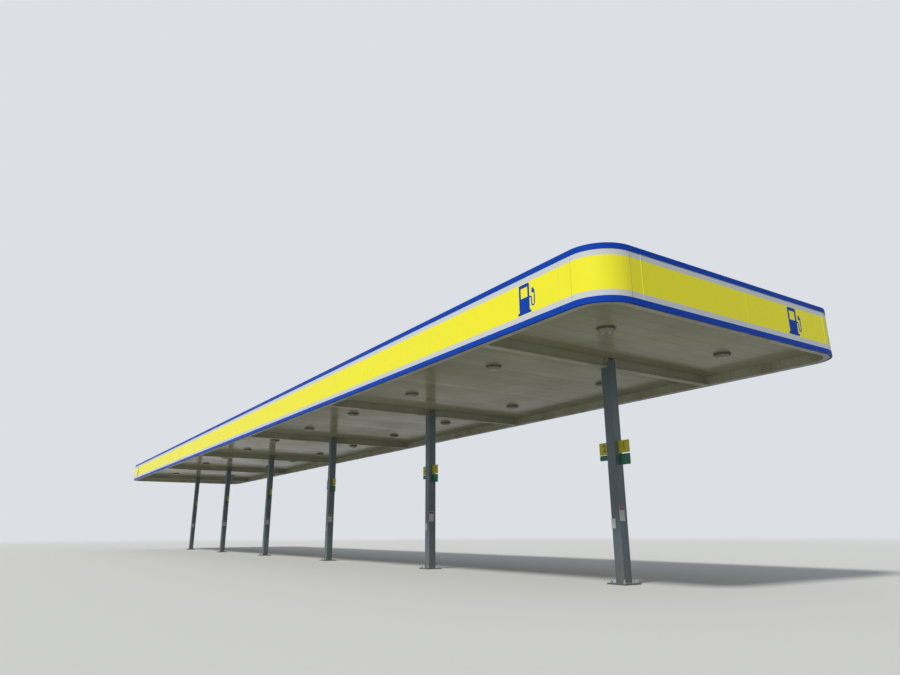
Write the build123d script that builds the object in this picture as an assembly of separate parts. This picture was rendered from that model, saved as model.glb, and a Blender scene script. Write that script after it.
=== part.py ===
# Filling station canopy, built as a model at half the size of the real one (1:2).
# Every size below is the model's own, in millimetres.
#
# Frame: X runs along the canopy, Y across it, +Z is up. The origin is on the ground in the middle.
# The front is the long side at -Y. The right end is the end at +X. Column 1 stands nearest to it.

from build123d import *
from math import sqrt
import os

# Layout of the whole canopy
bay_count = 5
bay_spacing = 4030.0
end_overhang = 1780.0
canopy_width = 3835.0
clear_height = 2420.0
corner_radius = 365.0

# Columns: square tube, slotted at the head for the beam, on a bolted base plate
column_size = 127.0
column_wall = 6.0
column_corner = 12.0
base_plate_size = 260.0
base_plate_thickness = 16.0
anchor_spacing = 190.0
anchor_hole_radius = 9.0
seat_plate_thickness = 12.0
head_clearance = 28.0

# Cross beams: one wide-flange beam through the head of each column
beam_depth = 152.0
beam_flange_width = 100.0
beam_flange_thickness = 7.0
beam_web_thickness = 5.0
beam_end_plate = 8.0
stiffener_thickness = 6.0

# Purlins: channels that run the whole length on top of the beams
purlin_depth = 100.0
purlin_flange = 35.0
purlin_thickness = 3.0
purlin_clearance = 2.5
purlins_per_side = 3

# Deck: pans that hang under the purlins and run across the canopy
pan_width = 203.0
pan_depth = 38.0
pan_sheet = 2.0
pan_rib = 8.0
deck_bearing = 20.0
deck_side_gap = 3.0

# Gutter: a trough round the edge of the deck, open on top
gutter_width = 62.0
gutter_sheet = 3.0

# Fascia: flat panels between a bottom and a top trim, on a light frame of tubes
fascia_height = 540.0
trim_sheet = 3.0
trim_height = 55.0
cap_overhang = 10.0
panel_sheet = 3.0
panel_width = 1524.0
panel_gap = 2.0
corner_leg = 510.0
frame_depth = 21.0
rail_height = 30.0
post_width = 24.0
kicker_width = 12.0
kicker_depth = 16.0
kicker_head_drop = 110.0

# Lights: round fittings under the deck in two rows
light_row_offset = 950.0
light_radius = 95.0
light_housing_depth = 24.0
lens_radius = 84.0
lens_tip_radius = 52.0
lens_rim = 4.0
lens_depth = 26.0
light_sides = 12

# Sizes that follow from the ones above
canopy_length = bay_count * bay_spacing + 2 * end_overhang
half_length = canopy_length / 2
half_width = canopy_width / 2
fascia_top = clear_height + fascia_height
beam_top = clear_height + beam_depth
purlin_top = beam_top + purlin_depth
deck_underside = beam_top - pan_depth
frame_inset = trim_sheet + panel_sheet + frame_depth
gutter_inner_inset = frame_inset + gutter_width
panel_bottom = clear_height + trim_sheet
panel_top = fascia_top - trim_sheet
rail_bottom = panel_top - rail_height
column_positions = [half_length - end_overhang - bay_spacing * k for k in range(bay_count + 1)]
deck_half_length = half_length - gutter_inner_inset + deck_bearing
deck_half_width = half_width - gutter_inner_inset + deck_bearing

# The outer purlins run just inside the rounded corners, and the others stand evenly between them
outer_purlin = half_width - corner_radius - purlin_clearance
purlin_lines = [outer_purlin * (2 * k + 1) / (2 * purlins_per_side - 1) for k in range(purlins_per_side)]

# The kickers stand on the middle of the outer purlins
kicker_reach = half_width - frame_inset - outer_purlin + (purlin_flange + kicker_depth) / 2


def block(x_low, x_high, y_low, y_high, z_low, z_high):
    """A plain block between six planes."""
    size = (x_high - x_low, y_high - y_low, z_high - z_low)
    middle = ((x_low + x_high) / 2, (y_low + y_high) / 2, (z_low + z_high) / 2)
    return Pos(*middle) * Box(*size)


def band(outer_inset, inner_inset, z_low, z_high):
    """A closed band that follows the rounded outline of the canopy, between two insets from it."""
    rounded = [
        RectangleRounded(canopy_length - 2 * inset, canopy_width - 2 * inset, corner_radius - inset)
        for inset in (outer_inset, inner_inset)
    ]
    return Pos(0, 0, z_low) * extrude(rounded[0] - rounded[1], amount=z_high - z_low)


def joined(solids):
    """Pieces that are welded or folded into one."""
    first, *others = solids
    for other in others:
        first = first + other
    return first


# The outline is cut into two long sides, two ends and four rounded corners
side_end = half_length - corner_leg
end_side = half_width - corner_leg
sky = fascia_top + corner_radius
regions = {
    "front": [block(-side_end, side_end, -canopy_width, 0, 0, sky)],
    "back": [block(-side_end, side_end, 0, canopy_width, 0, sky)],
    "ends": [
        block(side_end, canopy_length, -end_side, end_side, 0, sky),
        block(-canopy_length, -side_end, -end_side, end_side, 0, sky),
    ],
    "corners": [
        block(side_end, canopy_length, -canopy_width, -end_side, 0, sky),
        block(side_end, canopy_length, end_side, canopy_width, 0, sky),
        block(-canopy_length, -side_end, -canopy_width, -end_side, 0, sky),
        block(-canopy_length, -side_end, end_side, canopy_width, 0, sky),
    ],
}


def cut_into_regions(ring):
    """The solids of a closed ring that lie in each named stretch of the outline."""
    return {name: [ring & box for box in boxes] for name, boxes in regions.items()}


def column(x):
    """Square tube on its base plate. The head is slotted, so two cheeks rise beside the beam."""
    half_base = base_plate_size / 2
    base = block(-half_base, half_base, -half_base, half_base, 0, base_plate_thickness)
    hole = Pos(0, 0, base_plate_thickness / 2) * Cylinder(anchor_hole_radius, base_plate_thickness)
    base -= GridLocations(anchor_spacing, anchor_spacing, 2, 2) * hole
    inside = column_size - 2 * column_wall
    half_inside = inside / 2
    section = RectangleRounded(column_size, column_size, column_corner) - Rectangle(inside, inside)
    height = deck_underside - head_clearance - base_plate_thickness
    tube = Pos(0, 0, base_plate_thickness) * extrude(section, amount=height)
    tube -= block(-half_inside, half_inside, -column_size, column_size, clear_height, sky)
    seat = block(-half_inside, half_inside, -half_inside, half_inside,
                 clear_height - seat_plate_thickness, clear_height)
    return Pos(x, 0, 0) * (base + tube + seat)


def beam(x):
    """Wide-flange beam across the canopy, with end plates and stiffeners over the column faces."""
    reach = half_width - gutter_inner_inset
    web_low = clear_height + beam_flange_thickness
    web_high = beam_top - beam_flange_thickness
    half_flange = beam_flange_width / 2
    half_web = beam_web_thickness / 2
    half_stiffener = stiffener_thickness / 2
    solids = [
        block(-half_flange, half_flange, -reach, reach, clear_height, web_low),
        block(-half_flange, half_flange, -reach, reach, web_high, beam_top),
        block(-half_web, half_web, -reach, reach, web_low, web_high),
    ]
    for side in (-1, 1):
        plate = sorted((side * reach, side * (reach - beam_end_plate)))
        solids.append(block(-half_flange, half_flange, *plate, clear_height, beam_top))
        face = side * (column_size / 2 - half_stiffener)
        solids.append(block(-half_flange, half_flange, face - half_stiffener, face + half_stiffener,
                            web_low, web_high))
    return Pos(x, 0, 0) * joined(solids)


def purlin(y):
    """Channel that runs from end to end of the canopy, its open side towards the middle."""
    reach = half_length - frame_inset - gutter_sheet
    away = 1 if y > 0 else -1
    flange = sorted((y, y - away * purlin_flange))
    web = sorted((y, y - away * purlin_thickness))
    return joined([
        block(-reach, reach, *web, beam_top, purlin_top),
        block(-reach, reach, *flange, beam_top, beam_top + purlin_thickness),
        block(-reach, reach, *flange, purlin_top - purlin_thickness, purlin_top),
    ])


def deck_outline():
    """The deck from above: a rectangle, its corners cut straight off over the middle of the gutter."""
    side = corner_radius - gutter_inner_inset + deck_bearing
    middle = corner_radius - (frame_inset + gutter_inner_inset) / 2
    corners = Rectangle(2 * deck_half_length, 2 * deck_half_width).vertices()
    sheet = chamfer(corners, 2 * side - sqrt(2) * middle)
    return Pos(0, 0, deck_underside) * extrude(sheet, amount=pan_depth)


def deck(x_low, x_high):
    """Pans from one beam to the next. Their upright edges meet in narrow ribs that stand on top."""
    pans = round((x_high - x_low) / pan_width)
    pitch = (x_high - x_low) / pans
    sheet_top = deck_underside + pan_sheet
    edges = [(x_low, x_low + pan_rib / 2), (x_high - pan_rib / 2, x_high)]
    for k in range(1, pans):
        middle = x_low + k * pitch
        edges.insert(-1, (middle - pan_rib / 2, middle + pan_rib / 2))
    upper = []
    for low, high in edges:
        upper += [(low, sheet_top), (low, beam_top), (high, beam_top), (high, sheet_top)]
    outline = [(x_low, deck_underside)] + upper[1:-1] + [(x_high, deck_underside)]
    section = Plane.XZ * make_face(Polyline(outline, close=True))
    sheet = Pos(0, deck_half_width, 0) * extrude(section, amount=2 * deck_half_width)
    return sheet & deck_outline()


def deck_bays():
    """Where each stretch of deck starts and ends, from the right end to the left."""
    edge = beam_flange_width / 2 + deck_side_gap
    highs = [deck_half_length] + [x - edge for x in column_positions]
    lows = [x + edge for x in column_positions] + [-deck_half_length]
    return list(zip(lows, highs))


def seams(start, end):
    """Where the panels meet: whole panels from start, and a shorter last one."""
    places = [start]
    step = panel_width if end > start else -panel_width
    while abs(end - places[-1]) > panel_width:
        places.append(places[-1] + step)
    return places + [end]


def flat_panels(places, across):
    """Flat fascia panels between the seams. across turns a span into the panel's four sides."""
    half_gap = panel_gap / 2
    solids = []
    for one, other in zip(places, places[1:]):
        low, high = sorted((one, other))
        solids.append(block(*across(low + half_gap, high - half_gap), panel_bottom, panel_top))
    return solids


def fascia_panels():
    """All the fascia panels, by stretch of the outline."""
    front_y = -half_width + trim_sheet
    end_x = half_length - trim_sheet
    long_seams = seams(side_end, -side_end)
    end_seams = seams(-end_side, end_side)
    panels = cut_into_regions(band(trim_sheet, trim_sheet + panel_sheet, panel_bottom, panel_top))
    panels["front"] = flat_panels(long_seams, lambda a, b: (a, b, front_y, front_y + panel_sheet))
    panels["back"] = flat_panels(long_seams, lambda a, b: (a, b, -front_y - panel_sheet, -front_y))
    panels["ends"] = flat_panels(end_seams, lambda a, b: (end_x - panel_sheet, end_x, a, b))
    panels["ends"] += flat_panels(end_seams, lambda a, b: (-end_x, -end_x + panel_sheet, a, b))
    return panels


def post(place, turn):
    """Tube behind the panels, from the bottom trim up to the rail, with its sloping kicker."""
    outer = half_width if turn in (0, 180) else half_length
    front = -outer + trim_sheet + panel_sheet
    back = -outer + frame_inset
    head = panel_top - kicker_head_drop
    foot = back + kicker_reach
    tube = block(-post_width / 2, post_width / 2, front, back, panel_bottom, rail_bottom)
    side = Polyline((back, head), (back, head - kicker_depth), (foot - kicker_depth, purlin_top),
                    (foot, purlin_top), close=True)
    kicker = Pos(-kicker_width / 2, 0, 0) * extrude(Plane.YZ * make_face(side), amount=kicker_width)
    return Rot(0, 0, turn) * Pos(place, 0, 0) * (tube + kicker)


def fascia_frame():
    """The light frame behind the flat panels: a top rail, with posts at the seams and purlins."""
    frame = cut_into_regions(band(trim_sheet + panel_sheet, frame_inset, rail_bottom, panel_top))
    del frame["corners"]
    last = side_end - post_width / 2
    places = [last] + seams(side_end, -side_end)[1:-1] + [-last]
    frame["front"] = [joined(frame["front"] + [post(x, 0) for x in places])]
    frame["back"] = [joined(frame["back"] + [post(-x, 180) for x in places])]
    inner = [y - purlin_flange / 2 for y in purlin_lines if y < end_side]
    rows = [-y for y in inner] + inner
    frame["ends"] = [
        joined(frame["ends"][:1] + [post(y, 90) for y in rows]),
        joined(frame["ends"][1:] + [post(y, 270) for y in rows]),
    ]
    return frame


def gutter():
    """Trough under the edge of the deck, its outer wall high enough to take the purlins' ends."""
    outer, inner = frame_inset, gutter_inner_inset
    return joined([
        band(outer, inner, clear_height, clear_height + gutter_sheet),
        band(outer, outer + gutter_sheet, clear_height, purlin_top),
        band(inner - gutter_sheet, inner, clear_height, deck_underside),
    ])


def bottom_trim():
    """Folded trim that closes the fascia below and carries the panels."""
    return joined([
        band(0, trim_sheet, clear_height, clear_height + trim_height),
        band(trim_sheet, frame_inset, clear_height, clear_height + trim_sheet),
    ])


def top_trim():
    """Folded cap over the panels and the top rail."""
    return joined([
        band(0, trim_sheet, fascia_top - trim_height, fascia_top),
        band(trim_sheet, frame_inset + cap_overhang, panel_top, fascia_top),
    ])


def light_places():
    """Two rows of lights: two across in each end overhang, and four in each bay."""
    ends = [half_length - end_overhang / 2, -half_length + end_overhang / 2]
    bays = [x - bay_spacing * share for x in column_positions[:-1] for share in (0.25, 0.75)]
    return [(x, y) for x in sorted(ends + bays) for y in (-light_row_offset, light_row_offset)]


def flat_sided(radius):
    """A many-sided outline that lies round a circle and stands for it."""
    return RegularPolygon(radius, light_sides, major_radius=False)


def light_housing(x, y):
    """Round housing against the underside of the deck."""
    low = deck_underside - light_housing_depth
    return Pos(x, y, low) * extrude(flat_sided(light_radius), amount=light_housing_depth)


def light_lens(x, y):
    """Lens under the housing, tapered towards its tip."""
    low = deck_underside - light_housing_depth - lens_depth
    lens = extrude(flat_sided(lens_radius), amount=lens_depth)
    bottom = lens.faces().sort_by(Axis.Z)[0]
    slope = chamfer(bottom.edges(), lens_radius - lens_tip_radius, lens_depth - lens_rim, reference=bottom)
    return Pos(x, y, low) * slope


def build():
    """Every node of the canopy and the solids in it."""
    nodes = {}
    for number, x in enumerate(column_positions, start=1):
        nodes[f"column_{number}"] = [column(x)]
        nodes[f"cross_beam_{number}"] = [beam(x)]
    nodes["purlins_front"] = [purlin(-y) for y in purlin_lines]
    nodes["purlins_back"] = [purlin(y) for y in purlin_lines]
    for number, (low, high) in enumerate(deck_bays(), start=1):
        nodes[f"deck_bay_{number}"] = [deck(low, high)]
    rings = {
        "gutter": cut_into_regions(gutter()),
        "bottom_trim": cut_into_regions(bottom_trim()),
        "top_trim": cut_into_regions(top_trim()),
        "fascia_panels": fascia_panels(),
        "fascia_frame": fascia_frame(),
    }
    for piece, stretches in rings.items():
        for stretch, solids in stretches.items():
            nodes[f"{piece}_{stretch}"] = solids
    nodes["light_housings"] = [light_housing(x, y) for x, y in light_places()]
    nodes["light_lenses"] = [light_lens(x, y) for x, y in light_places()]
    return nodes


os.makedirs("parts", exist_ok=True)
for node, solids in build().items():
    export_step(Compound([piece for shape in solids for piece in shape.solids()]), f"parts/{node}.step")
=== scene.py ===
# Looks of the filling station canopy, a model at half the size of the real one.
# Metres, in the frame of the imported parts: X along the canopy, Y across it, Z up, front at -Y.

from math import cos, pi, radians, sin, sqrt
import random

import bmesh
import bpy
from mathutils import Matrix, Quaternion, Vector


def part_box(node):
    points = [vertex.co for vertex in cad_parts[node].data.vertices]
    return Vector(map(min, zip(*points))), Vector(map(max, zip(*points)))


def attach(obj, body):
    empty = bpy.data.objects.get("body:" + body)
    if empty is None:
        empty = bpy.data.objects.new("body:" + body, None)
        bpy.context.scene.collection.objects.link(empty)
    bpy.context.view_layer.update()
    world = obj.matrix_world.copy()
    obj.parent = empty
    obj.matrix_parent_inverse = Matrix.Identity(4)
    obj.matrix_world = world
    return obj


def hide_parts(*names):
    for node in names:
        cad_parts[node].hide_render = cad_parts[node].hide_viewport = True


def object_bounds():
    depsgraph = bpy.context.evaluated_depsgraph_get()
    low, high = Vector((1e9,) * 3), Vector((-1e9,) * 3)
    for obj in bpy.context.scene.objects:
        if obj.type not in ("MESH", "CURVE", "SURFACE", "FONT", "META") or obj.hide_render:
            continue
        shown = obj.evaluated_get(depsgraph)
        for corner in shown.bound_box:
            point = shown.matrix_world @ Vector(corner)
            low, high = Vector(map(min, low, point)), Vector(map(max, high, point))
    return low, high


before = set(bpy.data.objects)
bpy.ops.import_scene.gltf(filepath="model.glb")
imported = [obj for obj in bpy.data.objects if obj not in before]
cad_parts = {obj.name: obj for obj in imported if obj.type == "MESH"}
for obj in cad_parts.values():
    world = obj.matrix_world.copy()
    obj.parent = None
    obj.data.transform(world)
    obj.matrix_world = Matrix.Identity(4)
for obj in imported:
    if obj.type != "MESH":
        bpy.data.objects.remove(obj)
cad_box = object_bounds()
scene = bpy.context.scene


# Columns
# Six square steel tubes, shop-painted blue-grey, each welded to a base plate that four anchor bolts
# with nuts and washers hold down. Painted shade darkens the lower tube, and rain splashes dirt on
# its foot.

def colour(red, green, blue):
    """A colour given as it shows on a screen, from 0 to 255, for a shader."""
    shares = [value / 255 for value in (red, green, blue)]
    return (*[((s + 0.055) / 1.055) ** 2.4 if s > 0.04045 else s / 12.92 for s in shares], 1.0)


def add_node(tree, kind, sockets=None, **settings):
    """A shader node with its settings. Each socket is given a value, or an output to link to."""
    node = tree.nodes.new(kind)
    for name, value in settings.items():
        setattr(node, name, value)
    for name, value in (sockets or {}).items():
        if isinstance(value, bpy.types.NodeSocket):
            tree.links.new(value, node.inputs[name])
        else:
            node.inputs[name].default_value = value
    return node


def arithmetic(tree, operation, first, second, clamp=True):
    """The output of one sum on two values or outputs, held between 0 and 1 unless clamp is off."""
    node = add_node(tree, "ShaderNodeMath", {0: first, 1: second}, operation=operation,
                    use_clamp=clamp)
    return node.outputs[0]


def blended(tree, share, first, second):
    """The colour between two others, by a share."""
    node = add_node(tree, "ShaderNodeMix", {0: share, 6: first, 7: second}, data_type="RGBA")
    return node.outputs[2]


def ranged(tree, value, low, high, to_low=0.0, to_high=1.0):
    """A value taken from one range to another, and held inside it."""
    node = add_node(tree, "ShaderNodeMapRange", {
        "Value": value, "From Min": low, "From Max": high, "To Min": to_low, "To Max": to_high})
    return node.outputs[0]


def place_on_piece(tree):
    """The output that gives a point's place on the object, in metres."""
    return add_node(tree, "ShaderNodeTexCoord").outputs["Object"]


def along(tree, axis):
    """How far a point lies along one axis, in metres."""
    return add_node(tree, "ShaderNodeSeparateXYZ", {0: place_on_piece(tree)}).outputs[axis]


def stretched(tree, scale):
    """The point's place, stretched by a factor along each axis."""
    sockets = {"Vector": place_on_piece(tree), "Scale": scale}
    return add_node(tree, "ShaderNodeMapping", sockets).outputs[0]


def speckle(tree, where, scale, detail=3.0, rough=0.55):
    """Soft random patches from 0 to 1."""
    sockets = {"Vector": where, "Scale": scale, "Detail": detail, "Roughness": rough}
    return add_node(tree, "ShaderNodeTexNoise", sockets).outputs[0]


def make_weathering():
    """What weather does to any sheet or paint: patches, runs down the face, an uneven sheen."""
    tree = bpy.data.node_groups.new("weathering", "ShaderNodeTree")
    for name, kind in (("Colour", "Color"), ("Dirt", "Color"), ("Patch size", "Float"),
                       ("Patches", "Float"), ("Runs", "Float"), ("Smooth", "Float"),
                       ("Rough", "Float")):
        tree.interface.new_socket(name, in_out="INPUT", socket_type=f"NodeSocket{kind}")
    for name, kind in (("Colour", "Color"), ("Roughness", "Float"), ("Height", "Float")):
        tree.interface.new_socket(name, in_out="OUTPUT", socket_type=f"NodeSocket{kind}")
    narrow_and_long = (46.0, 46.0, 1.6)
    handling_scale, grain_scale, dirt_roughness = 9.0, 260.0, 0.35

    given = add_node(tree, "NodeGroupInput").outputs
    where = place_on_piece(tree)
    per_metre = arithmetic(tree, "DIVIDE", 1.0, given["Patch size"], clamp=False)
    clouds = ranged(tree, speckle(tree, where, per_metre, detail=4.0, rough=0.5), 0.42, 0.72)
    runs = ranged(tree, speckle(tree, stretched(tree, narrow_and_long), 1.0), 0.5, 0.78)
    dirt = arithmetic(tree, "ADD", arithmetic(tree, "MULTIPLY", clouds, given["Patches"]),
                      arithmetic(tree, "MULTIPLY", runs, given["Runs"]))
    handled = ranged(tree, speckle(tree, where, handling_scale, detail=2.0, rough=0.4), 0.3, 0.7)
    span = arithmetic(tree, "SUBTRACT", given["Rough"], given["Smooth"])
    sheen = arithmetic(tree, "ADD", given["Smooth"], arithmetic(tree, "MULTIPLY", span, handled))
    dulled = arithmetic(tree, "ADD", sheen, arithmetic(tree, "MULTIPLY", dirt, dirt_roughness))
    add_node(tree, "NodeGroupOutput", {
        "Colour": blended(tree, dirt, given["Colour"], given["Dirt"]), "Roughness": dulled,
        "Height": speckle(tree, where, grain_scale, detail=2.0)})
    return tree


weathering = make_weathering()
grain_depth, swell_depth = 0.001, 0.01


def new_finish(name, **values):
    """A material with one shader. Plain values go on its own sockets, with _ for each space."""
    material = bpy.data.materials.new(name)
    material.use_nodes = True
    shader = material.node_tree.nodes["Principled BSDF"]
    for socket, value in values.items():
        shader.inputs[socket.replace("_", " ")].default_value = value
    return material, material.node_tree, shader


def weathered(tree, shader, base, dirt, size, patches, runs, smooth, rough, grain=0.05, swell=None):
    """Puts weathering on a shader: dirt in patches of a size and in runs over a base colour, and a
    roughness from smooth to rough. grain is the strength of the fine bump, or of a swell's."""
    group = add_node(tree, "ShaderNodeGroup", {
        "Colour": base, "Dirt": dirt, "Patch size": size, "Patches": patches, "Runs": runs,
        "Smooth": smooth, "Rough": rough}, node_tree=weathering)
    bump = add_node(tree, "ShaderNodeBump", {
        "Strength": grain, "Distance": grain_depth if swell is None else swell_depth,
        "Height": group.outputs["Height"] if swell is None else swell})
    tree.links.new(group.outputs["Colour"], shader.inputs["Base Color"])
    tree.links.new(group.outputs["Roughness"], shader.inputs["Roughness"])
    tree.links.new(bump.outputs[0], shader.inputs["Normal"])


def coat(start, material):
    """Gives a finish to every CAD node whose name starts with the word given."""
    for name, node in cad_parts.items():
        if name.startswith(start):
            node.data.materials.clear()
            node.data.materials.append(material)


splash_top, painted_shade_top = 0.38, 1.7

column_paint, tree, shader = new_finish("column_paint", Coat_Weight=0.12, Coat_Roughness=0.25)
height = along(tree, "Z")
drops = ranged(tree, speckle(tree, place_on_piece(tree), 19.0, detail=7.0), 0.3, 0.58)
splash = arithmetic(tree, "MULTIPLY", ranged(tree, height, 0.0, splash_top, 0.9, 0.0), drops)
# Painted shade: the paint grows darker from 1.7 m down to the foot, for less light near the floor.
painted_shade = ranged(tree, height, 0.0, painted_shade_top, 0.9, 0.0)
shaded_paint = blended(tree, painted_shade, colour(109, 127, 138), colour(74, 84, 92))
weathered(tree, shader, blended(tree, splash, shaded_paint, colour(96, 90, 78)), colour(122, 133, 139),
          size=0.7, patches=0.34, runs=0.34, smooth=0.34, rough=0.5, grain=0.08)
coat("column", column_paint)


def new_piece(name, mesh, materials, smooth_below=None):
    """A piece made from a bmesh. It rides on the canopy, with round faces smooth below an angle."""
    bmesh.ops.recalc_face_normals(mesh, faces=mesh.faces)
    data = bpy.data.meshes.new(name)
    mesh.to_mesh(data)
    mesh.free()
    for material in materials:
        data.materials.append(material)
    if smooth_below:
        data.shade_smooth()
        data.set_sharp_from_angle(angle=smooth_below)
    piece = bpy.data.objects.new(name, data)
    scene.collection.objects.link(piece)
    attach(piece, "root")
    return piece


def repeated(shape, matrices):
    """One mesh with a copy of the shape at each matrix."""
    pattern = bpy.data.meshes.new("pattern")
    shape.to_mesh(pattern)
    shape.free()
    whole = bmesh.new()
    for matrix in matrices:
        copy = pattern.copy()
        copy.transform(matrix)
        whole.from_mesh(copy)
        bpy.data.meshes.remove(copy)
    bpy.data.meshes.remove(pattern)
    return whole


def turned(profile, steps):
    """A round solid turned about Z from its half outline, given as (radius, height) pairs."""
    mesh = bmesh.new()
    corners = [mesh.verts.new((radius, 0, height)) for radius, height in profile]
    edges = [mesh.edges.new(pair) for pair in zip(corners, corners[1:])]
    bmesh.ops.spin(mesh, geom=corners + edges, cent=(0, 0, 0), axis=(0, 0, 1), angle=2 * pi,
                   steps=steps, use_merge=True)
    bmesh.ops.remove_doubles(mesh, verts=mesh.verts, dist=1e-6)
    return mesh


def add_prism(mesh, sides, radius, low, high, tip=1.0):
    """Adds an upright prism round Z. tip narrows its upper end."""
    bmesh.ops.create_cone(mesh, cap_ends=True, segments=sides, radius1=radius, radius2=radius * tip,
                          depth=high - low, matrix=Matrix.Translation((0, 0, (low + high) / 2)))


def raise_faces(mesh):
    """Extrudes all the faces of a mesh where they are, and gives the new vertices."""
    made = bmesh.ops.extrude_face_region(mesh, geom=mesh.faces[:])["geom"]
    return [part for part in made if isinstance(part, bmesh.types.BMVert)]


zinc, tree, shader = new_finish("zinc_bolts", Metallic=0.9)
weathered(tree, shader, colour(176, 178, 178), colour(128, 104, 82),
          size=0.03, patches=0.45, runs=0.15, smooth=0.3, rough=0.55)

column_boxes = [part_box(f"column_{number}") for number in range(1, 7)]
column_x = [(low.x + high.x) / 2 for low, high in column_boxes]
column_half = 0.0635
plate_top = 0.016
anchor_offset = 0.095
rod_low = plate_top - 0.009
thread_root, thread_crest, thread_pitch, thread_ridges = 0.0072, 0.0082, 0.0034, 14
thread_start, rod_chamfer, rod_tip = 0.001, 0.002, 0.0066
washer_radius, washer_top = 0.0175, plate_top + 0.003
nut_radius, nut_shoulder, nut_top = 0.0145, plate_top + 0.0145, plate_top + 0.0165
hex_chamfer = 0.86
nut_turn = 0.4

rod = [(0.0, rod_low)]
for ridge in range(thread_ridges):
    level = rod_low + thread_start + ridge * thread_pitch
    rod += [(thread_root, level), (thread_crest, level + thread_pitch / 2)]
rod_top = rod[-1][1] + rod_chamfer
rod += [(rod_tip, rod_top), (0.0, rod_top)]
anchor = turned(rod, 12)
add_prism(anchor, 18, washer_radius, plate_top, washer_top)
add_prism(anchor, 6, nut_radius, washer_top, nut_shoulder)
add_prism(anchor, 6, nut_radius, nut_shoulder, nut_top, tip=hex_chamfer)
corner_signs = [(1, 1), (1, -1), (-1, 1), (-1, -1)]
anchors = repeated(anchor, [Matrix.Translation((x + a * anchor_offset, b * anchor_offset, 0))
                            @ Matrix.Rotation(nut_turn * number + a, 4, "Z")
                            for number, x in enumerate(column_x) for a, b in corner_signs])
new_piece("anchor_bolts", anchors, [zinc], smooth_below=radians(25))

weld_leg, weld_rounding = 0.007, 0.014
foot = column_half + weld_leg
weld = bmesh.new()
bmesh.ops.create_circle(weld, cap_ends=True, segments=4, radius=foot * sqrt(2),
                        matrix=Matrix.Translation((0, 0, plate_top))
                        @ Matrix.Rotation(pi / 4, 4, "Z"))
bmesh.ops.bevel(weld, geom=weld.verts[:], offset=weld_rounding, segments=4, profile=0.5,
                affect="VERTICES", material=-1)
raised = raise_faces(weld)
bmesh.ops.scale(weld, vec=(column_half / foot, column_half / foot, 1), verts=raised)
bmesh.ops.translate(weld, vec=(0, 0, weld_leg), verts=raised)
new_piece("column_welds", repeated(weld, [Matrix.Translation((x, 0, 0)) for x in column_x]),
          [column_paint])


# Cross beams
# Wide-flange steel beams in a beige shop coat, one through each slotted column head. Their lower
# flange shows flush with the fascia, and end plates meet the gutter.

beam_paint, tree, shader = new_finish("beam_paint", Specular_IOR_Level=0.35)
weathered(tree, shader, colour(204, 205, 186), colour(156, 152, 130),
          size=0.5, patches=0.4, runs=0.12, smooth=0.35, rough=0.55, grain=0.1)
coat("cross_beam", beam_paint)


# Purlins
# Cold-rolled galvanised channels on top of the beams, three on each side of the columns. Two bolts
# hold them at every beam, and bolted plates splice them over the second and the fourth bay.

galvanised, tree, shader = new_finish("galvanised_steel", Metallic=0.8)
spangle = add_node(tree, "ShaderNodeTexVoronoi", {"Vector": place_on_piece(tree), "Scale": 70.0})
zinc_tone = blended(tree, spangle.outputs["Color"], colour(150, 155, 158), colour(182, 186, 188))
weathered(tree, shader, zinc_tone, colour(138, 136, 128),
          size=0.4, patches=0.5, runs=0.25, smooth=0.38, rough=0.6)
coat("purlins", galvanised)


def standing(place, outward=(0, 0, 1), turn=0.0):
    """The matrix that stands a shape made along +Z on a place, along outward, turned about it."""
    lean = Vector(outward).to_track_quat("Z", "Y").to_matrix().to_4x4()
    return Matrix.Translation(Vector(place)) @ lean @ Matrix.Rotation(turn, 4, "Z")


def hex_bolt(radius, head):
    """A hexagon bolt head on its washer, standing on the ground at the origin."""
    mesh = bmesh.new()
    washer = head * 0.22
    shoulder = washer + head * 0.8
    add_prism(mesh, 14, radius * 1.42, 0.0, washer)
    add_prism(mesh, 6, radius, washer, shoulder)
    add_prism(mesh, 6, radius, shoulder, washer + head, tip=hex_chamfer)
    return mesh


def add_block(mesh, middle, size):
    """Adds a block of a size round a middle."""
    bmesh.ops.create_cube(mesh, size=1.0,
                          matrix=Matrix.Translation(middle) @ Matrix.Diagonal((*size, 1)))


purlin_flange = 0.035
purlin_sheet = 0.003
purlin_low, purlin_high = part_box("purlins_back")[0].z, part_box("purlins_back")[1].z
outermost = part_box("purlins_back")[1].y
purlin_lines = [side * outermost * share for side in (-1, 1) for share in (0.2, 0.6, 1.0)]
flange_bolt_radius, flange_bolt_head, flange_bolt_offset = 0.0095, 0.008, 0.028

flange_bolts = []
for x in column_x:
    for line in purlin_lines:
        inward = -1 if line > 0 else 1
        for offset in (-flange_bolt_offset, flange_bolt_offset):
            place = (x + offset, line + inward * purlin_flange / 2, purlin_low + purlin_sheet)
            flange_bolts.append(standing(place, turn=line + x))
flange_bolt = hex_bolt(flange_bolt_radius, flange_bolt_head)
new_piece("purlin_bolts", repeated(flange_bolt, flange_bolts), [zinc])

splice_size = Vector((0.26, 0.003, 0.078))
splice_edge = 0.0006
splice_bolt_radius, splice_bolt_head, splice_bolt_turn = 0.0085, 0.007, 9
splice_bolt_offsets, splice_bolt_rises = (-0.1, -0.035, 0.035, 0.1), (-0.022, 0.022)

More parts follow.
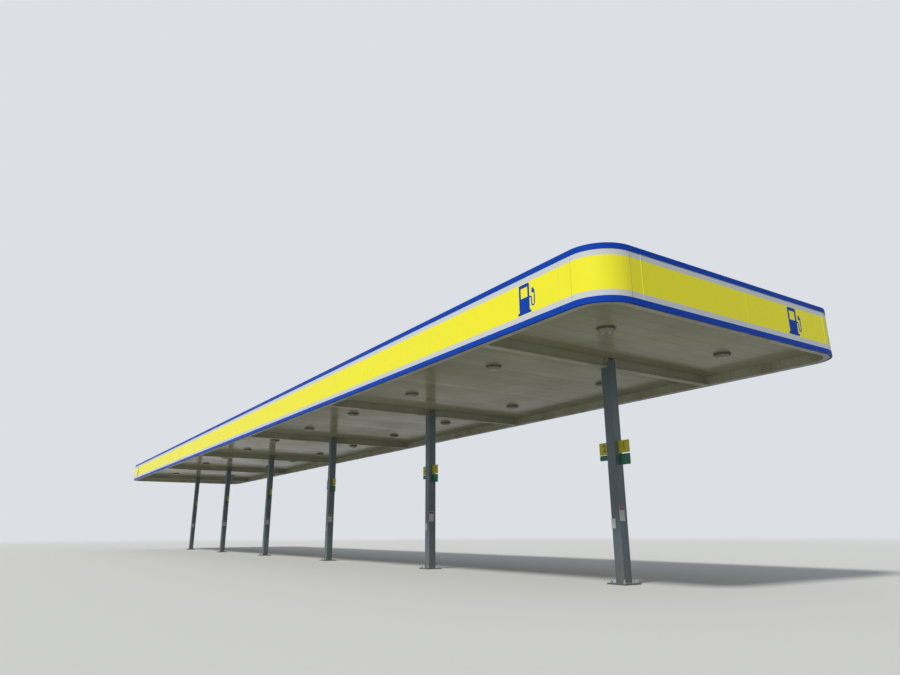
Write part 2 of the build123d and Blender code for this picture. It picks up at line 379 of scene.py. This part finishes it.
splices = bmesh.new()
splice_bolts = []
for x in ((column_x[1] + column_x[2]) / 2, (column_x[3] + column_x[4]) / 2):
    for line in purlin_lines:
        outward = 1 if line > 0 else -1
        middle = Vector((x, line + outward * splice_size.y / 2, (purlin_low + purlin_high) / 2))
        add_block(splices, middle, splice_size)
        for offset in splice_bolt_offsets:
            for rise in splice_bolt_rises:
                place = middle + Vector((offset, outward * splice_size.y / 2, rise))
                turn = offset * splice_bolt_turn
                splice_bolts.append(standing(place, (0, outward, 0), turn))
bmesh.ops.bevel(splices, geom=splices.edges[:], offset=splice_edge, segments=1, profile=0.5,
                affect="EDGES", material=-1)
new_piece("purlin_splices", splices, [galvanised])
splice_bolt = hex_bolt(splice_bolt_radius, splice_bolt_head)
new_piece("splice_bolts", repeated(splice_bolt, splice_bolts), [zinc])


# Deck
# Roof pans of white enamelled steel that run across the canopy, slightly bowed, snapped together at
# upright ribs and clipped to the purlins. Below, each joint is a shallow groove that holds grime.
# The top side is primed grey.

pan_width = 0.203
beam_gap_half = 0.053
gutter_inner = 0.089
corner_radius = 0.365
half_length, half_width = cad_box[1].x, cad_box[1].y
deck_low, deck_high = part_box("deck_bay_1")[0].z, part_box("deck_bay_1")[1].z
white_depth = 0.0015
skin_gap = 0.0002
joint_half, joint_depth = 0.0032, 0.0016

deck_enamel, tree, shader = new_finish("deck_enamel", Specular_IOR_Level=0.03)
topside = arithmetic(tree, "GREATER_THAN", along(tree, "Z"), deck_low + white_depth)
pan_tone = add_node(tree, "ShaderNodeAttribute", attribute_name="pan_tone").outputs["Fac"]
enamel = blended(tree, pan_tone, colour(202, 200, 175), colour(181, 178, 149))
sheet = blended(tree, topside, enamel, colour(150, 152, 150))
bowed = speckle(tree, stretched(tree, (4.9, 1.1, 1.0)), 1.0, detail=1.0, rough=0.4)
weathered(tree, shader, sheet, colour(158, 154, 130),
          size=0.9, patches=0.34, runs=0.0, smooth=0.13, rough=0.18, grain=0.22, swell=bowed)
coat("deck_bay", deck_enamel)

groove_grime, tree, shader = new_finish("deck_joint_grime")
weathered(tree, shader, colour(160, 158, 134), colour(120, 116, 94),
          size=0.25, patches=0.7, runs=0.0, smooth=0.4, rough=0.7, grain=0.2)

bay_ends = [-half_length + gutter_inner]
for x in sorted(column_x):
    bay_ends += [x - beam_gap_half, x + beam_gap_half]
bay_ends.append(half_length - gutter_inner)
joint_lines = []
for low, high in zip(bay_ends[0::2], bay_ends[1::2]):
    count = round((high - low) / pan_width)
    joint_lines += [low + (high - low) * k / count for k in range(1, count)]

# One sheet inside the gutter, cut along the joints and the beams. Each pan gets a sunken edge.
inner_length, inner_width = half_length - gutter_inner, half_width - gutter_inner
pans = bmesh.new()
bmesh.ops.create_grid(pans, x_segments=1, y_segments=1, size=1.0,
                      matrix=Matrix.Translation((0, 0, deck_low - skin_gap))
                      @ Matrix.Diagonal((inner_length, inner_width, 1, 1)))
bmesh.ops.bevel(pans, geom=pans.verts[:], offset=corner_radius - gutter_inner, segments=10,
                profile=0.5, affect="VERTICES", material=-1)
for x in joint_lines + bay_ends[1:-1]:
    bmesh.ops.bisect_plane(pans, geom=pans.verts[:] + pans.edges[:] + pans.faces[:],
                           plane_co=(x, 0, 0), plane_no=(1, 0, 0))
under_beams = [face for face in pans.faces
               if min(abs(face.calc_center_median().x - x) for x in column_x) < beam_gap_half]
bmesh.ops.delete(pans, geom=under_beams, context="FACES")
bmesh.ops.reverse_faces(pans, faces=[face for face in pans.faces if face.normal.z > 0])
tones = pans.faces.layers.float.new("pan_tone")
grooves = set(bmesh.ops.inset_individual(pans, faces=pans.faces[:], thickness=joint_half,
                                         depth=joint_depth)["faces"])
shuffle = random.Random(7)
for face in pans.faces:
    face[tones] = shuffle.random()
    face.material_index = int(face in grooves)
new_piece("deck_pans", pans, [deck_enamel, groove_grime])

clip_width, clip_sheet = 0.016, 0.003
clip_foot, clip_lip, clip_lip_place = 0.03, 0.012, -0.0115
clip_standoff = 0.013
clip = bmesh.new()
add_block(clip, (0, 0, clip_sheet / 2), (clip_width, clip_foot, clip_sheet))
add_block(clip, (0, clip_lip_place, clip_lip / 2), (clip_width, clip_sheet, clip_lip))
clips = []
for x in joint_lines:
    for line in purlin_lines:
        inward = -1 if line > 0 else 1
        place = (x, line + inward * (purlin_flange + clip_standoff), deck_high)
        clips.append(standing(place, turn=0.0 if line < 0 else pi))
new_piece("deck_clips", repeated(clip, clips), [zinc])


# Gutter
# A folded trough of white enamelled sheet round the deck. Its floor is the flat strip inside the
# fascia. Riveted straps cover the joints, and rain leaves faint runs of dirt on its sides.

gutter_enamel, tree, shader = new_finish("gutter_enamel", Specular_IOR_Level=0.35)
weathered(tree, shader, colour(208, 209, 190), colour(146, 142, 118),
          size=0.35, patches=0.45, runs=0.35, smooth=0.32, rough=0.5)
coat("gutter", gutter_enamel)

down = (0, 0, -1)
gutter_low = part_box("gutter_front")[0].z
gutter_outer = 0.027
gutter_middle = (gutter_outer + gutter_inner) / 2
gutter_length, first_joint, end_joint = 3.048, 0.6, 0.2
strap_along, strap_across, strap_sheet = 0.036, gutter_inner - gutter_outer - 0.004, 0.0012
rivet_along, rivet_across = 0.012, 0.02

straps, strap_rivets = [], []


def add_strap(x, y, size, rivet_step):
    """Adds the place of a strap under the gutter, and the places of its four rivets."""
    straps.append(Matrix.Translation((x, y, gutter_low)) @ Matrix.Diagonal((*size, 1, 1)))
    for a in (-1, 1):
        for b in (-1, 1):
            place = (x + a * rivet_step[0], y + b * rivet_step[1], gutter_low - strap_sheet)
            strap_rivets.append(standing(place, down))


for k in range(-3, 4):
    for side in (-1, 1):
        add_strap(k * gutter_length + first_joint, side * (half_width - gutter_middle),
                  (strap_along, strap_across), (rivet_along, rivet_across))
for end in (-1, 1):
    add_strap(end * (half_length - gutter_middle), end_joint,
              (strap_across, strap_along), (rivet_across, rivet_along))
strap = bmesh.new()
add_block(strap, (0, 0, -strap_sheet / 2), (1, 1, strap_sheet))
new_piece("gutter_straps", repeated(strap, straps), [gutter_enamel])

rivet_head = [(0.0036, 0.0), (0.0032, 0.0010), (0.0019, 0.0018), (0.0, 0.0021)]


def add_rivets(name, places, material):
    """A piece with a round rivet head at each place."""
    new_piece(name, repeated(turned(rivet_head, 8), places), [material],
              smooth_below=radians(60))


add_rivets("gutter_rivets", strap_rivets, zinc)


# Fascia trims
# Folded aluminium with a gloss blue factory coat: a bottom trim that carries the panels, and a cap
# over them. Both butt at the panel seams, and small rivets hold them along the hidden edges.

panel_width = 1.524
corner_leg = 0.510
side_end = half_length - corner_leg
end_side = half_width - corner_leg
joint_width = 0.0022

trim_blue, tree, shader = new_finish("trim_blue", Specular_IOR_Level=0.03)
from_end = arithmetic(tree, "SUBTRACT", side_end, along(tree, "X"), clamp=False)
past_seam = arithmetic(tree, "MODULO", from_end, panel_width, clamp=False)
joint = arithmetic(tree, "MULTIPLY", arithmetic(tree, "LESS_THAN", past_seam, joint_width),
                   arithmetic(tree, "GREATER_THAN", from_end, -0.001))
blue = blended(tree, joint, colour(22, 70, 178), colour(6, 16, 42))
weathered(tree, shader, blue, colour(26, 74, 168),
          size=0.8, patches=0.3, runs=0.16, smooth=0.26, rough=0.42)
coat("bottom_trim", trim_blue)
coat("top_trim", trim_blue)

fascia_top, fascia_low = cad_box[1].z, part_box("bottom_trim_front")[0].z
rivet_pitch = 0.305
first_on_side, first_on_end = 0.1, 0.04
cap_inset, bottom_inset = 0.018, 0.014

trim_rivets = []
for side in (-1, 1):
    for k in range(int(2 * side_end / rivet_pitch) + 1):
        x = -side_end + first_on_side + k * rivet_pitch
        trim_rivets.append(standing((x, side * (half_width - cap_inset), fascia_top)))
        trim_rivets.append(standing((x, side * (half_width - bottom_inset), fascia_low), down))
    for k in range(int(2 * end_side / rivet_pitch) + 1):
        y = -end_side + first_on_end + k * rivet_pitch
        trim_rivets.append(standing((side * (half_length - cap_inset), y, fascia_top)))
        trim_rivets.append(standing((side * (half_length - bottom_inset), y, fascia_low), down))
add_rivets("trim_rivets", trim_rivets, trim_blue)


# Fascia panels
# Flat composite sheets with a gloss yellow film, and a light grey stripe along the top and the
# bottom. A bright bead of bare sheet shows at each seam, and the film is creased where the rounded
# corners begin, the creases in a darker film that is painted shade.

lower_stripe_top = 2.531
upper_stripe_low = 2.849
panel_face = 0.003
trim_cover = 0.056


def striped(tree, field, stripe):
    """The field colour with a stripe along the top and the bottom, from the point's height."""
    level = along(tree, "Z")
    in_stripe = arithmetic(tree, "ADD", arithmetic(tree, "LESS_THAN", level, lower_stripe_top),
                           arithmetic(tree, "GREATER_THAN", level, upper_stripe_low))
    return blended(tree, in_stripe, field, stripe)


fascia_film, tree, shader = new_finish("fascia_film", Specular_IOR_Level=0.08)
film = striped(tree, colour(252, 245, 55), colour(209, 215, 219))
normal = add_node(tree, "ShaderNodeNewGeometry").outputs["Normal"]
outwards = add_node(tree, "ShaderNodeVectorMath", {0: stretched(tree, (1.0, 1.0, 0.0)), 1: normal},
                    operation="DOT_PRODUCT").outputs["Value"]
bare_back = arithmetic(tree, "LESS_THAN", outwards, 0.0)
weathered(tree, shader, blended(tree, bare_back, film, colour(176, 178, 174)),
          colour(214, 208, 110), size=1.3, patches=0.08, runs=0.02, smooth=0.24, rough=0.4,
          grain=0.0)
coat("fascia_panels", fascia_film)

# Painted shade: the creases are thin real ridges in a darker copy of the film and stripe.
crease_painted_shade, tree, shader = new_finish("crease_painted_shade")
shaded_film = striped(tree, colour(224, 217, 42), colour(172, 179, 186))
weathered(tree, shader, shaded_film, colour(166, 161, 74),
          size=0.1, patches=0.5, runs=0.2, smooth=0.5, rough=0.7)

seams_on_side = 16
strip_height = fascia_top - fascia_low - 2 * trim_cover
strip_middle = (fascia_top + fascia_low) / 2
strip_half, side_crease_half = 0.0045, 0.0027
bead_rise, crease_rise = 0.0029, 0.0006
# Where the beads of an end stand, and how much of the full rise each has
end_beads = ((-end_side, 1.0), (-end_side + panel_width, 0.4), (end_side, 0.3),
             (half_width - corner_radius, 0.8))


def bar(sides):
    """A round bar that stands along Z, one metre long, with a radius of one metre."""
    mesh = bmesh.new()
    add_prism(mesh, sides, 1.0, -0.5, 0.5)
    return mesh


def strip(x, y, half_x, half_y):
    """The matrix that makes the round bar an upright strip on the face of the panels."""
    shape = Matrix.Diagonal((half_x, half_y, strip_height, 1))
    return Matrix.Translation((x, y, strip_middle)) @ shape


side_face, end_face = half_width - panel_face, half_length - panel_face
beads, creases = [], []
for side in (-1, 1):
    for k in range(seams_on_side):
        beads.append(strip(side_end - panel_width * k, side * side_face, strip_half, bead_rise))
    for y, share in end_beads:
        beads.append(strip(side * end_face, y, bead_rise * share, strip_half))
for end in (-1, 1):
    for side in (-1, 1):
        creases.append(strip(end * (half_length - corner_radius), side * side_face,
                             side_crease_half, crease_rise))
    creases.append(strip(end * end_face, corner_radius - half_width, crease_rise, strip_half))
new_piece("panel_beads", repeated(bar(12), beads), [fascia_film],
          smooth_below=radians(40))
new_piece("corner_creases", repeated(bar(8), creases), [crease_painted_shade],
          smooth_below=radians(60))


# Pump signs
# A plain fuel pump cut from blue film, stuck on the yellow near the ends of the fascia. Its window
# is left yellow, and its hose is one strip of film that loops from the pump back to its side.

def plate(low, high, corner, thin_axis):
    """A flat plate between two corners of a box, its outline rounded about its thin axis."""
    low, high = Vector(low), Vector(high)
    mesh = bmesh.new()
    add_block(mesh, (low + high) / 2, high - low)
    others = [axis for axis in range(3) if axis != thin_axis]
    corners = [edge for edge in mesh.edges
               if all(abs(edge.verts[0].co[a] - edge.verts[1].co[a]) < 1e-7 for a in others)]
    bmesh.ops.bevel(mesh, geom=corners, offset=corner, segments=4, profile=0.5, affect="EDGES",
                    material=-1)
    return mesh


def gathered(meshes):
    """Several meshes in one."""
    whole = bmesh.new()
    for mesh in meshes:
        data = bpy.data.meshes.new("part")
        mesh.to_mesh(data)
        mesh.free()
        whole.from_mesh(data)
        bpy.data.meshes.remove(data)
    return whole


def ribbon(width, thickness, start, moves):
    """A flat strip that starts towards +X. A move is a length ahead, a turning radius, an angle."""
    mesh = bmesh.new()
    place, heading = Vector((start[0], 0, start[1])), 0.0
    ends = [mesh.verts.new(place + Vector((0, 0, side * width / 2))) for side in (1, -1)]
    last = ends + [mesh.edges.new(ends)]
    for ahead, radius, angle in moves:
        forward = Vector((cos(heading), 0, sin(heading))) * ahead
        last = bmesh.ops.spin(mesh, geom=last, cent=place, axis=(0, -1, 0), dvec=forward, angle=0,
                              steps=1)["geom_last"]
        place += forward
        if angle:
            side = 1 if angle > 0 else -1
            centre = place + Vector((-sin(heading), 0, cos(heading))) * radius * side
            last = bmesh.ops.spin(mesh, geom=last, cent=centre, axis=(0, -1, 0), angle=angle,
                                  steps=8)["geom_last"]
            place = centre + Matrix.Rotation(angle, 3, (0, -1, 0)) @ (place - centre)
            heading += angle
    bmesh.ops.translate(mesh, vec=(0, -thickness, 0), verts=raise_faces(mesh))
    return mesh


def turned_to(side):
    """The turn that takes what faces the front to the front, side -1, or to the back, side 1."""
    return Matrix.Rotation(0 if side < 0 else pi, 4, "Z")


film_sheet, film_layer = 0.0006, 0.0001
cut_pieces = [
    ((-0.098, -0.152), (0.098, -0.126), 0.007),    # foot
    ((-0.076, -0.128), (0.076, 0.012), 0.002),     # body
    ((-0.076, -0.02), (-0.05, 0.145), 0.002),      # left of the window
    ((0.05, -0.02), (0.076, 0.145), 0.002),        # right of the window
    ((-0.076, 0.114), (0.076, 0.150), 0.014),      # head
    ((0.110, 0.032), (0.139, 0.080), 0.006),       # nozzle
]
hose_width, hose_sheet, hose_start = 0.015, film_sheet * 0.8, (0.074, 0.0)
hose_moves = [(0.016, 0.016, -pi / 2), (0.056, 0.02, pi), (0.112, 0.013, pi / 4),
              (0.034, 0.01, 0.0)]
side_sign_inset, end_sign_place = 1.005, 0.935

pump_pieces = []
for layer, (low, high, corner) in enumerate(cut_pieces):
    thickness = film_sheet + layer * film_layer
    pump_pieces.append(plate((low[0], -thickness, low[1]), (high[0], 0, high[1]), corner, 1))
pump_pieces.append(ribbon(hose_width, hose_sheet, hose_start, hose_moves))
pump_places = []
for side in (-1, 1):
    for end in (-1, 1):
        place = (end * (half_length - side_sign_inset), side * side_face, strip_middle)
        pump_places.append(Matrix.Translation(place) @ turned_to(side))
    place = (side * end_face, side * end_sign_place, strip_middle)
    pump_places.append(Matrix.Translation(place) @ Matrix.Rotation(side * pi / 2, 4, "Z"))
new_piece("pump_signs", repeated(gathered(pump_pieces), pump_places), [trim_blue])


# Fascia frame
# Galvanised rail and posts behind the panels, braced by sloping kickers that stand on the outer
# purlins. The rounded corners have none: there the trims hold the panels.

coat("fascia_frame", galvanised)


# Lights
# Round fittings in two rows against the deck: a bronze enamelled pan with four screws, a hinge and
# a latch, and a shallow tapered lens of ribbed glass in its rim.

bay_length, end_light, light_row = 4.03, 0.89, 0.95
light_x = [half_length - end_light, end_light - half_length]
light_x += [x - bay_length * share for x in column_x[:-1] for share in (0.25, 0.75)]
downward = [standing((x, y, deck_low), down, turn=0.3 * x)
            for x in light_x for y in (-light_row, light_row)]
pan_depth = deck_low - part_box("light_housings")[0].z
lens_tip = deck_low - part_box("light_lenses")[0].z

fitting_enamel, tree, shader = new_finish("fitting_enamel")
weathered(tree, shader, colour(126, 122, 108), colour(92, 86, 72),
          size=0.05, patches=0.4, runs=0.0, smooth=0.35, rough=0.5)

# This profile and the lens's are pairs of a radius and a depth below the deck.
pan_profile = [(0.0, 0.0), (0.105, 0.0), (0.105, 0.0016), (0.1035, 0.0024), (0.0935, 0.0026),
               (0.0905, pan_depth * 0.7), (0.0932, pan_depth * 0.74), (0.0932, pan_depth - 0.001),
               (0.092, pan_depth), (0.0852, pan_depth), (0.0842, pan_depth - 0.002),
               (0.0842, pan_depth - 0.009), (0.0, pan_depth - 0.009)]
screw_ring, screw_level = 0.0985, 0.0034
screw_radius, screw_tip, screw_head = 0.003, 0.0024, 0.0018
catch_place, catch_level = 0.0945, pan_depth * 0.76
hinge, latch = (0.009, 0.022, 0.011), (0.007, 0.028, 0.009)

fitting = turned(pan_profile, 40)
for k in range(4):
    turn = Matrix.Rotation(k * pi / 2 + pi / 4, 4, "Z")
    bmesh.ops.create_cone(fitting, cap_ends=True, segments=8, radius1=screw_radius,
                          radius2=screw_tip, depth=screw_head,
                          matrix=turn @ Matrix.Translation((screw_ring, 0, screw_level)))
add_block(fitting, (catch_place, 0, catch_level), hinge)
add_block(fitting, (-catch_place, 0, catch_level), latch)
fittings = new_piece("light_fittings", repeated(fitting, downward), [fitting_enamel],
                     smooth_below=radians(35))
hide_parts("light_housings")

lens_glass, tree, shader = new_finish("lens_glass", IOR=1.45)
weathered(tree, shader, colour(188, 187, 172), colour(132, 128, 108),
          size=0.04, patches=0.35, runs=0.0, smooth=0.16, rough=0.32)

ribs = 8
tip_edge, ribbed_width, lens_edge = 0.052, 0.032, 0.0838
ribs_top, ribs_low = lens_tip - 0.0022, pan_depth + 0.004
valley, crest = (-0.0007, -0.0016), (0.001, 0.0002)
lens_profile = [(0.0, lens_tip), (0.010, lens_tip), (0.012, lens_tip - 0.0012),
                (0.050, lens_tip - 0.0012), (tip_edge, ribs_top)]
for rib in range(ribs):
    share = (rib + 0.5) / ribs
    radius, depth = tip_edge + ribbed_width * share, ribs_top - (ribs_top - ribs_low) * share
    lens_profile += [(radius + wider, depth + deeper) for wider, deeper in (valley, crest)]
lens_profile += [(lens_edge, ribs_low), (lens_edge, pan_depth - 0.003)]
lenses = new_piece("light_glass", repeated(turned(lens_profile, 40), downward), [lens_glass],
                   smooth_below=radians(28))
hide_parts("light_lenses")


# Number flags and blank plates
# Aluminium plates on the column faces: a yellow flag with the position's number over a green one on
# each side, riveted to the tube by a folded edge, and two small blank plates lower down.

figure_height, figure_sheet, figure_share = 0.115, 0.0003, 0.52
flag_half, flag_reach, flag_corner = 0.0015, 0.166, 0.012
# The lowest and highest edge of the yellow and of the green flag, on the right and on the left
flag_levels = {1: ((1.411, 1.552), (1.278, 1.4)), -1: ((1.406, 1.548), (1.342, 1.402))}
flag_lift, most_lift = 0.055, 0.1
tab_sheet, tab_reach, tab_inset, tab_rivet_place = 0.002, 0.018, 0.012, 0.011
# The blank plates' edges along the face and up
white_low, white_high, white_sheet = (-0.0615, 0.664), (0.024, 0.817), 0.0016
band_low, band_high, band_sheet = (-0.0575, 0.782), (0.020, 0.812), (0.0014, 0.0021)
small_low, small_high, small_sheet = (-0.0625, 0.586), (-0.002, 0.692), 0.0014
plate_corner, band_corner = 0.004, 0.003


def plate_finish(name, base, dirt, **look):
    """A weathered coat for a plate."""
    material, tree, shader = new_finish(name)
    weathered(tree, shader, base, dirt, **look)
    return material


def figure(words, matrix):
    """Figures as a thin mesh, their middle at the origin of the matrix, facing along its +Z."""
    curve = bpy.data.curves.new("figure", "FONT")
    curve.body = words
    curve.size = figure_height
    curve.extrude = figure_sheet
    curve.align_x, curve.align_y = "CENTER", "CENTER"
    holder = bpy.data.objects.new("figure", curve)
    data = bpy.data.meshes.new_from_object(holder)
    data.transform(matrix)
    mesh = bmesh.new()
    mesh.from_mesh(data)
    bpy.data.meshes.remove(data)
    bpy.data.objects.remove(holder)
    bpy.data.curves.remove(curve)
    return mesh


flag_yellow = plate_finish("flag_yellow", colour(233, 221, 30), colour(184, 176, 72),
                           size=0.12, patches=0.3, runs=0.2, smooth=0.3, rough=0.45)
flag_green = plate_finish("flag_green", colour(30, 116, 88), colour(84, 132, 112),
                          size=0.12, patches=0.3, runs=0.2, smooth=0.3, rough=0.45)
plate_white = plate_finish("plate_white", colour(214, 216, 216), colour(160, 158, 146),
                           size=0.08, patches=0.35, runs=0.3, smooth=0.35, rough=0.5)
plate_red = plate_finish("plate_red", colour(146, 62, 62), colour(176, 122, 116),
                         size=0.06, patches=0.35, runs=0.2, smooth=0.35, rough=0.5)
figure_black = plate_finish("figure_black", colour(46, 46, 38), colour(84, 82, 64),
                            size=0.05, patches=0.3, runs=0.1, smooth=0.35, rough=0.5)

yellow, green, white, bands, figures, tabs, tab_rivets = [], [], [], [], [], [], []
for number, x in enumerate(column_x):
    lift = min(flag_lift * number, most_lift)
    for side in (1, -1):
        face = x + side * column_half
        levels = [(low + lift, high + lift) for low, high in flag_levels[side]]
        for stack, (low, high) in zip((yellow, green), levels):
            near, far = sorted((face, face + side * flag_reach))
            stack.append(plate((near, -flag_half, low), (far, flag_half, high), flag_corner, 1))
            near, far = sorted((face, face + side * tab_sheet))
            tabs.append(plate((near, flag_half, low + tab_inset),
                              (far, tab_reach, high - tab_inset), tab_sheet, 0))
            for share in (0.25, 0.75):
                place = (face + side * tab_sheet, tab_rivet_place, low + (high - low) * share)
                tab_rivets.append(standing(place, (side, 0, 0)))
        words = str(2 * number + (1 if side > 0 else 2))
        for outward in (-1, 1):
            place = (face + side * flag_reach * figure_share, outward * (flag_half + figure_sheet),
                     sum(levels[0]) / 2)
            upright = turned_to(outward) @ Matrix.Rotation(pi / 2, 4, "X")
            figures.append(figure(words, Matrix.Translation(place) @ upright))
    face = x + column_half
    white.append(plate((face, white_low[0], white_low[1] + lift),
                       (face + white_sheet, white_high[0], white_high[1] + lift),
                       plate_corner, 0))
    bands.append(plate((face + band_sheet[0], band_low[0], band_low[1] + lift),
                       (face + band_sheet[1], band_high[0], band_high[1] + lift),
                       band_corner, 0))
    white.append(plate((x + small_low[0], -column_half - small_sheet, small_low[1]),
                       (x + small_high[0], -column_half, small_high[1]), plate_corner, 1))
new_piece("yellow_flags", gathered(yellow), [flag_yellow])
new_piece("green_flags", gathered(green), [flag_green])
new_piece("blank_plates", gathered(white), [plate_white])
new_piece("plate_bands", gathered(bands), [plate_red])
new_piece("flag_figures", gathered(figures), [figure_black])
new_piece("flag_tabs", gathered(tabs), [zinc])
add_rivets("flag_rivets", tab_rivets, zinc)


# Floor, light and camera
# A plain pale floor under a pale sky dome, a soft key from the front, and the camera where the
# photograph was taken from, for an image of 900 by 675.

backdrop = colour(220, 224, 229)
fade_start, fade_end = 16.0, 60.0
floor_half = 900.0


def seen_plainly(tree):
    """1 where the camera sees a surface, directly, mirrored or through glass."""
    rays = add_node(tree, "ShaderNodeLightPath").outputs
    mirrored = arithmetic(tree, "ADD", rays["Is Glossy Ray"], rays["Is Transmission Ray"])
    return arithmetic(tree, "ADD", rays["Is Camera Ray"], mirrored)


floor_finish, tree, shader = new_finish("studio_floor", Roughness=0.9, Specular_IOR_Level=0.1)
seen = seen_plainly(tree)
floor_tone = blended(tree, seen, colour(134, 134, 126), colour(206, 206, 202))
tree.links.new(floor_tone, shader.inputs["Base Color"])
distance = add_node(tree, "ShaderNodeVectorMath", {0: place_on_piece(tree)}, operation="LENGTH")
fade = add_node(tree, "ShaderNodeMapRange", {
    "Value": distance.outputs["Value"], "From Min": fade_start, "From Max": fade_end},
    interpolation_type="SMOOTHSTEP")
fading = arithmetic(tree, "MULTIPLY", seen, fade.outputs[0])
glow = add_node(tree, "ShaderNodeEmission", {"Color": backdrop, "Strength": 1.0})
both = add_node(tree, "ShaderNodeMixShader", {0: fading, 1: shader.outputs[0], 2: glow.outputs[0]})
tree.links.new(both.outputs[0], tree.nodes["Material Output"].inputs["Surface"])
ground = bmesh.new()
bmesh.ops.create_grid(ground, x_segments=1, y_segments=1, size=floor_half)
floor_data = bpy.data.meshes.new("studio_floor")
ground.to_mesh(floor_data)
ground.free()
floor_data.materials.append(floor_finish)
floor = bpy.data.objects.new("studio_floor", floor_data)
scene.collection.objects.link(floor)

world = bpy.data.worlds.new("studio")
scene.world = world
world.use_nodes = True
tree = world.node_tree
tree.nodes.clear()
shown = seen_plainly(tree)
dome = add_node(tree, "ShaderNodeBackground", {"Color": colour(236, 242, 255), "Strength": 0.45})
pale = add_node(tree, "ShaderNodeBackground", {"Color": backdrop, "Strength": 1.0})
sky = add_node(tree, "ShaderNodeMixShader", {0: shown, 1: dome.outputs[0], 2: pale.outputs[0]})
add_node(tree, "ShaderNodeOutputWorld", {"Surface": sky.outputs[0]})

key_lamp = bpy.data.lights.new("key", "SUN")
key_lamp.energy = 2.8
key_lamp.angle = radians(9)
key_lamp.color = (1.0, 0.985, 0.95)
key = bpy.data.objects.new("key", key_lamp)
key.rotation_mode = "QUATERNION"
key.rotation_quaternion = Vector((0.23, -0.68, 0.69)).to_track_quat("Z", "Y")
scene.collection.objects.link(key)

camera_data = bpy.data.cameras.new("camera")
camera_data.lens = 26.417
camera_data.sensor_width = 36.0
camera_data.clip_end = 2000.0
camera = bpy.data.objects.new("camera", camera_data)
camera.location = (15.436, -5.787, 0.557)
heading, pitch, roll = radians(33.361), radians(16.403), radians(-0.274)
gaze = Vector((-cos(heading) * cos(pitch), sin(heading) * cos(pitch), sin(pitch)))
camera.rotation_mode = "QUATERNION"
camera.rotation_quaternion = gaze.to_track_quat("-Z", "Y") @ Quaternion((0, 0, 1), roll)
scene.collection.objects.link(camera)
scene.camera = camera
scene.view_settings.view_transform = "Standard"
